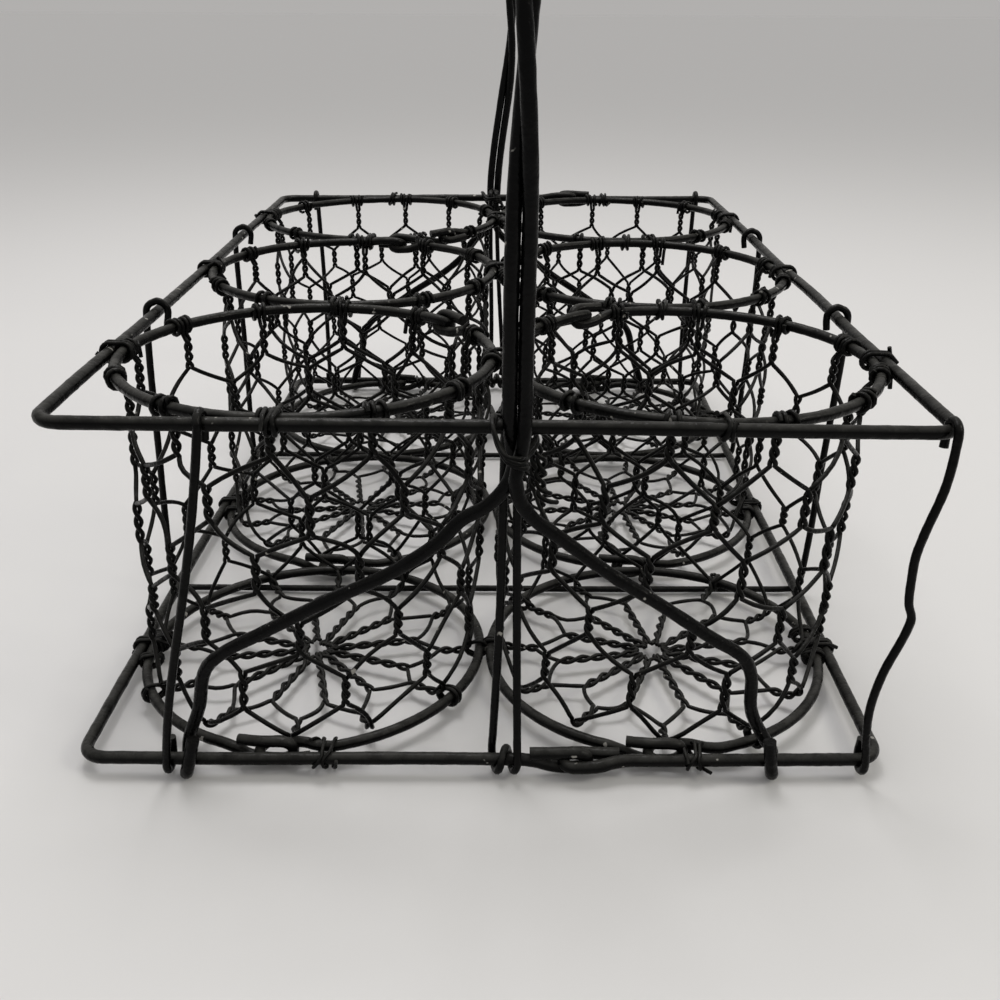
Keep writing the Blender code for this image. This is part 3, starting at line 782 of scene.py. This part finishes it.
# %% [markdown]
# ## Posts that hook over and under
#
# Between the frames stand wires of nearly two millimetres. Each one hooks over the upper rail,
# comes down on the outside and turns under the lower rail. Round a rail the path is part of a circle,
# and between the rails it is almost straight, so a post is two arcs joined by a sweep. Those in
# the middle of the long sides carry on across under the cups and up the other side.

# %% Arcs round a rail, and posts made of them
POST_HOOK = RAIL_WIRE / 2 + POST_WIRE / 2 + 0.12


def round_rail(first, last, z, radius=POST_HOOK, steps=8):
    """An arc about a rail as (outward, z), by angles in degrees from straight outwards."""
    arc = []
    for step in range(steps + 1):
        angle = math.radians(first + (last - first) * step / steps)
        arc.append((radius * math.cos(angle), z + radius * math.sin(angle)))
    return arc


def corner_post(label, end, top_x, foot_x, kinks=()):
    """Hooked over the upper rail, down outside with its kinks, and under the lower rail."""
    places = [(top_x, -POST_HOOK * 0.9, HIGH_Z - 4.0)]
    places += [(top_x, out, z) for out, z in round_rail(180, 0, HIGH_Z)]
    places += kinks
    places += [(foot_x, out, z) for out, z in round_rail(0, -180, LOW_Z)]
    places.append((foot_x, -POST_HOOK * 0.9, LOW_Z + 4.0))
    line = bend_through([Vector((x, end * (HALF_Y + out), z)) for x, out, z in places])
    draw_wire("corner_post_" + label, [line], POST_WIRE, "post_paint")


right_x = HALF_X - 6.0
back_left_x = 13.0 - HALF_X
corner_post("front_left", -1, 31.35 - HALF_X, 19.6 - HALF_X)
knocked = POST_HOOK + 0.4
corner_post(
    "front_right",
    -1,
    HALF_X - 1.9,
    HALF_X - 4.0,
    [
        (HALF_X - 2.0, knocked, 72.0),
        (HALF_X - 3.8, knocked, 61.0),
        (HALF_X - 4.3, knocked, 56.5),
        (HALF_X - 4.0, knocked, 51.5),
        (HALF_X - 3.2, knocked, 45.5),
        (HALF_X - 2.0, knocked, 42.4),
        (HALF_X - 2.2, knocked, 39.8),
        (HALF_X - 5.1, knocked, 28.5),
        (HALF_X - 6.0, knocked, 20.0),
        (HALF_X - 5.4, knocked, 12.5),
    ],
)
corner_post("back_left", 1, back_left_x, back_left_x)
corner_post("back_right", 1, right_x, right_x)

# %% [markdown]
# ## Wires that cross under the cups
#
# The long sides are held by two wires that go down one side, across under the middle of the floor
# and up the other side, like a sling. One line holds the whole way: an arc, a post, an arc, the
# crossing, and the same again in a mirror. Their hooks over the upper rail are open loops that
# stand up a little, because they were bent by hand round the finished rail.

# %% Draw the slings
CROSS_Z = LOW_Z - RAIL_WIRE / 2 - ROOM - POST_WIRE / 2
CROSS_Y = PITCH / 2 + 7.5

for label, y in (("front", -CROSS_Y), ("back", CROSS_Y)):
    half = [(-POST_HOOK, HIGH_Z - 3.0)]
    half += round_rail(165, 95, HIGH_Z, POST_HOOK + 0.5)
    half += round_rail(75, 0, HIGH_Z, POST_HOOK + 0.2)
    half.append((POST_HOOK + 0.4, (HIGH_Z + LOW_Z) / 2))
    half += round_rail(0, -75, LOW_Z)
    half.append((-3.0, CROSS_Z))
    half.append((-9.0, CROSS_Z))
    right = [Vector((HALF_X + out, y, z)) for out, z in half]
    left = [Vector((-place.x, place.y, place.z)) for place in reversed(right)]
    draw_wire("cross_frame_" + label, [bend_through(right + left)], POST_WIRE, "post_paint")

# %% [markdown]
# ## The hairpin in the middle of each end
#
# A post of the same wire stands in the middle of both ends. It is a hairpin: its bend winds once
# round the lower rail, its two legs rise side by side, and their tips hook over the upper rail
# behind the handle. Only the winding needs thought. It is a helix with the rail as its axis, which
# moves sideways by the distance between the legs while it turns.

# %% Draw the hairpins
LEG_SPREAD = 5.6
PINCH = 0.62

for label, end, foot_aside, top_aside in (("front", -1, 5.9, 2.2), ("back", 1, 0.0, BACK_ASIDE)):
    half = LEG_SPREAD / 2
    tip = [(out, z) for out, z in round_rail(70, 170, HIGH_Z)]
    places = [(-half, out, z) for out, z in tip]
    places += [(-half, -POST_HOOK, HIGH_Z - 6.0), (-half + 0.3, -POST_HOOK, 40.0)]
    places += [(-half, -POST_HOOK, LOW_Z + 5.0)]
    turns = 26
    for step in range(turns + 1):
        angle = -math.pi + 3 * math.pi * step / turns
        x = -half + LEG_SPREAD * step / turns
        places.append((x, POST_HOOK * math.cos(angle), LOW_Z + POST_HOOK * math.sin(angle)))
    places += [(half, POST_HOOK * 0.7, LOW_Z + 5.0), (half - 0.3, -POST_HOOK * 0.6, 30.0)]
    places += [(half, -POST_HOOK, HIGH_Z - 6.0)]
    places += [(half, out, z) for out, z in reversed(tip)]
    leaning = []
    for x, out, z in places:
        high = z / HIGH_Z
        x = x * (1 - PINCH * high) + foot_aside + (top_aside - foot_aside) * high
        leaning.append(Vector((x, end * (HALF_Y + out), z)))
    draw_wire("centre_post_" + label, [bend_through(leaning)], POST_WIRE, "post_paint")

# %% [markdown]
# ## Ties: a coil round two wires
#
# Every ring is bound to the rail or the ring beside it with a few turns of thin wire. A tie
# round one wire would be a plain helix. Round two it is stretched: while the coil passes on the far
# side it circles the second wire, and on the near side the first. Its ends are bent off and cut,
# each at its own length, and that small disorder does more for the look than anything exact.

# %% A tie with cut ends
def tie_line(first, second, forward, turns, spacing, thickness, chance):
    """A coil round two wires that lie side by side, with a short tail at both ends."""
    across = (second - first).normalized()
    up = across.cross(forward)
    radius = RAIL_WIRE / 2 + thickness / 2 + 0.06
    start = chance.uniform(0.0, 2.0)
    steps = round(16 * turns)
    line = []
    for step in range(steps + 1):
        angle = start + 2 * math.pi * turns * step / steps
        outward = math.cos(angle)
        base = second if outward > 0 else first
        shift = (step / steps - 0.5) * turns * thickness * spacing
        wander = 0.3 * spacing * math.sin(1.7 * angle + start)
        line.append(base + radius * (outward * across + math.sin(angle) * up) + forward * (shift + wander))
    first_tail = (line[0] - line[1]).normalized() * chance.uniform(0.5, 2.0)
    last_tail = (line[-1] - line[-2]).normalized() * chance.uniform(0.5, 2.4)
    line.insert(0, line[0] + first_tail + forward * chance.uniform(-0.6, 0.2))
    line.append(line[-1] + last_tail + forward * chance.uniform(-0.2, 0.6))
    return line


def draw_tie(node, first, second, forward, turns, spacing=1.15, thickness=TIE_WIRE):
    chance = random.Random(node)
    turns = turns + chance.uniform(-0.3, 0.3)
    line = tie_line(Vector(first), Vector(second), Vector(forward), turns, spacing, thickness, chance)
    draw_wire(node, [line], thickness, "tie_paint", 8, uneven=0.08)


# %% [markdown]
# ## Where the ties go
#
# The rims are tied to the side rails and to the end rails, and to each other, in both directions.
# The foot rings are tied to the lower rails only, in front and behind a little to the right, with
# thinner wire. All of this follows from the cups' places, so two loops name and draw every tie.

# %% Draw the ties
FOOT_TIE_ASIDE = {"left": 8.9, "right": 4.0}

for row, y in ROWS.items():
    for column, x in COLUMNS.items():
        cup = f"{row}_{column}"
        hand = 1 if x > 0 else -1
        for kind, z in (("rim", HIGH_Z), ("base", LOW_Z)):
            ring = (x + hand * RING_RADIUS, y, z)
            draw_tie(f"tie_{kind}_side_{cup}", ring, (hand * HALF_X, y, z), (0, 1, 0), 2.2)
            if row != "middle":
                end = 1 if y > 0 else -1
                node = f"tie_{kind}_end_{cup}"
                if kind == "base":
                    aside = FOOT_TIE_ASIDE[column]
                    reach = math.sqrt(RING_RADIUS ** 2 - aside ** 2)
                    ring = (x + aside, y + end * reach, z)
                    draw_tie(node, ring, (x + aside, end * HALF_Y, z), (1, 0, 0), 2.6, 2.1, 0.85)
                else:
                    ring = (x, y + end * RING_RADIUS, z)
                    draw_tie(node, ring, (x, end * HALF_Y, z), (1, 0, 0), 2.0)
        if row != "back":
            near = (x, y + RING_RADIUS, HIGH_Z)
            draw_tie("tie_rims_behind_" + cup, near, (x, y + PITCH - RING_RADIUS, HIGH_Z), (1, 0, 0), 2.0)
        if column == "left":
            near = (x + RING_RADIUS, y, HIGH_Z)
            draw_tie("tie_rims_right_of_" + cup, near, (x + PITCH - RING_RADIUS, y, HIGH_Z), (0, 1, 0), 2.0)

# %% [markdown]
# ## The binding at the handle
#
# Where the rods meet the upper rail, thin wire is wound round all of them and the tips of the
# hairpin, and its end hangs down twisted like a pigtail. The winding goes round a box, not a
# circle, so its places are listed at the box's sides and corners and the sweep rounds them.

# %% Draw the bindings
BINDING_WIRE = 0.95

for label, end, aside in (("front", -1, FORK_ASIDE), ("back", 1, BACK_ASIDE)):
    chance = random.Random("binding " + label)
    narrow = HANDLE_WIRE / 2 + BINDING_WIRE / 2 + 0.2
    wide = HANDLE_WIRE + BINDING_WIRE / 2 + 0.4
    front = RAIL_WIRE / 2 + 2 * HANDLE_WIRE + BINDING_WIRE / 2 + 0.2
    behind = POST_HOOK + POST_WIRE / 2 + BINDING_WIRE / 2 + 0.1
    over = RAIL_WIRE / 2 + BINDING_WIRE / 2 + 0.2
    loop = ((narrow, 0.5 * front, -6.0), (0.5 * narrow, front, -5.4), (-0.5 * narrow, front, -4.6))
    loop += ((-narrow, 0.75 * front, -3.4), (-wide, 0.5 * front, -0.5), (-wide, 0.0, over))
    loop += ((-0.6 * wide, -behind, 0.4), (0.6 * wide, -behind, -1.2), (wide, -0.3 * behind, -over - 1.0))
    places = []
    for turn in range(3):
        for x, out, up in loop:
            x += aside + (1 if x > 0 else -1) * chance.uniform(0.0, 0.5) - 0.35 * turn
            up += turn * BINDING_WIRE * 0.9 * (1 if up < 0 else 0) + chance.uniform(-0.2, 0.2)
            places.append((x, out + chance.uniform(-0.1, 0.2) * (1 if out > 0 else -1), up))
    lines = [bend_through([Vector((x, end * (HALF_Y + out), HIGH_Z + up)) for x, out, up in places])]
    for start in (0.0, math.pi):
        pigtail = [Vector((narrow + aside, end * (HALF_Y - 3.0), HIGH_Z - 3.0))]
        for step in range(61):
            share = step / 60
            angle = start + 2 * math.pi * 2.6 * share ** 1.3
            apart = 0.55 + 0.35 * math.sin(9.0 * share + start) ** 2 + 0.9 * share ** 5
            hang = Vector((3.7 + aside + 3.4 * share, end * (HALF_Y - 0.5), HIGH_Z - 4.0 - 12.5 * share))
            hang.x += 0.6 * math.sin(7.0 * share)
            pigtail.append(hang + apart * Vector((math.cos(angle), math.sin(angle), 0.0)))
        lines.append(pigtail)
    draw_wire("handle_binding_" + label, lines, BINDING_WIRE, "tie_paint", 8, uneven=0.10)

# %% [markdown]
# ## The camera
#
# The picture was taken close up, from a little above the handle's middle, looking down by about
# twenty-five degrees. Close up, near things grow and far things shrink, so distance matters as much
# as the angle. The camera's place and the three turns below were found by lining the frames
# and rings up with the picture. The matrix is built from them: its columns are the camera's right,
# its up, and the direction behind it.

# %% Place the camera
CAMERA_AT = Vector((-0.846, -313.958, 151.53)) * MM
TURN = math.radians(0.318)
LOOK_DOWN = math.radians(24.821)
ROLL = math.radians(0.318)
LENS = 37.97

level = math.cos(LOOK_DOWN)
forward = Vector((math.sin(TURN) * level, math.cos(TURN) * level, -math.sin(LOOK_DOWN)))
level = forward.cross(Vector((0.0, 0.0, 1.0))).normalized()
upright = level.cross(forward)
rightward = math.cos(ROLL) * level + math.sin(ROLL) * upright
upward = rightward.cross(forward)
lens = bpy.data.cameras.new("camera")
lens.lens = LENS
lens.sensor_width = 36.0
lens.sensor_fit = "HORIZONTAL"
lens.clip_start = 0.01
lens.clip_end = 500.0
camera = bpy.data.objects.new("camera", lens)
turned = Matrix((rightward, upward, -forward)).transposed().to_4x4()
camera.matrix_world = Matrix.Translation(CAMERA_AT) @ turned
bpy.context.scene.collection.objects.link(camera)
bpy.context.scene.camera = camera
print("camera height above the table:", round(CAMERA_AT.z / MM), "mm")

# %% [markdown]
# ## Table and light
#
# Black wire shows mostly by what it reflects, so the light matters more than the paint. A
# broad soft lamp above and behind draws a pale line along the top of each wire, and a pale
# surrounding keeps the undersides readable. The table is a plain pale plane that catches the soft
# shadows. The background is as pale as the table, in the reflections too.

# %% Table, lamps and background
def plain_surface(name, colour, roughness):
    material = bpy.data.materials.new(name)
    material.use_nodes = True
    shader = material.node_tree.nodes["Principled BSDF"]
    shader.inputs["Base Color"].default_value = (*colour, 1.0)
    shader.inputs["Roughness"].default_value = roughness
    return material


bpy.ops.mesh.primitive_plane_add(size=150.0, location=(0.0, 0.0, 0.0))
table = bpy.context.object
table.name = "table"
table.data.materials.append(plain_surface("pale_table", (0.67, 0.665, 0.65), 0.6))
table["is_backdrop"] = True


def soft_lamp(name, place, size, colour, power):
    data = bpy.data.lights.new(name, "AREA")
    data.shape = "SQUARE"
    data.size = size
    data.color = colour
    data.energy = power
    lamp = bpy.data.objects.new(name, data)
    lamp.location = place
    lamp.rotation_euler = (-Vector(place)).to_track_quat("-Z", "Y").to_euler()
    bpy.context.scene.collection.objects.link(lamp)
    return lamp


soft_lamp("lamp_above", (-0.06, 0.20, 0.80), 0.34, (1.0, 0.985, 1.0), 3.0)
soft_lamp("lamp_right", (0.90, -0.40, 0.80), 0.30, (1.0, 0.97, 0.86), 2.6)

world = bpy.data.worlds.new("pale_room")
bpy.context.scene.world = world
world.use_nodes = True
tree = world.node_tree
surround = tree.nodes["Background"]
surround.inputs["Color"].default_value = (1.0, 0.985, 0.985, 1.0)
surround.inputs["Strength"].default_value = 0.66
seen = tree.nodes.new("ShaderNodeBackground")
seen.inputs["Color"].default_value = (0.442, 0.432, 0.423, 1.0)
seen.inputs["Strength"].default_value = 1.0
ray = tree.nodes.new("ShaderNodeLightPath")
either = tree.nodes.new("ShaderNodeMath")
either.operation = "MAXIMUM"
tree.links.new(ray.outputs["Is Camera Ray"], either.inputs[0])
tree.links.new(ray.outputs["Is Glossy Ray"], either.inputs[1])
any_of = tree.nodes.new("ShaderNodeMath")
any_of.operation = "MAXIMUM"
tree.links.new(either.outputs["Value"], any_of.inputs[0])
tree.links.new(ray.outputs["Is Transmission Ray"], any_of.inputs[1])
choose = tree.nodes.new("ShaderNodeMixShader")
tree.links.new(any_of.outputs["Value"], choose.inputs["Fac"])
tree.links.new(surround.outputs["Background"], choose.inputs[1])
tree.links.new(seen.outputs["Background"], choose.inputs[2])
tree.links.new(choose.outputs["Shader"], tree.nodes["World Output"].inputs["Surface"])
bpy.context.scene.view_settings.view_transform = "Standard"

# %% [markdown]
# ## Measure, and finish
#
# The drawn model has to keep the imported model's size, so both boxes are written down side by side
# before the scene is closed.

# %% Write the sizes and finish
visual_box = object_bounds()
for name, box in (("packed", cad_box), ("drawn", visual_box)):
    print(name, "size in mm:", [round((high - low) / MM, 1) for low, high in zip(*box)])
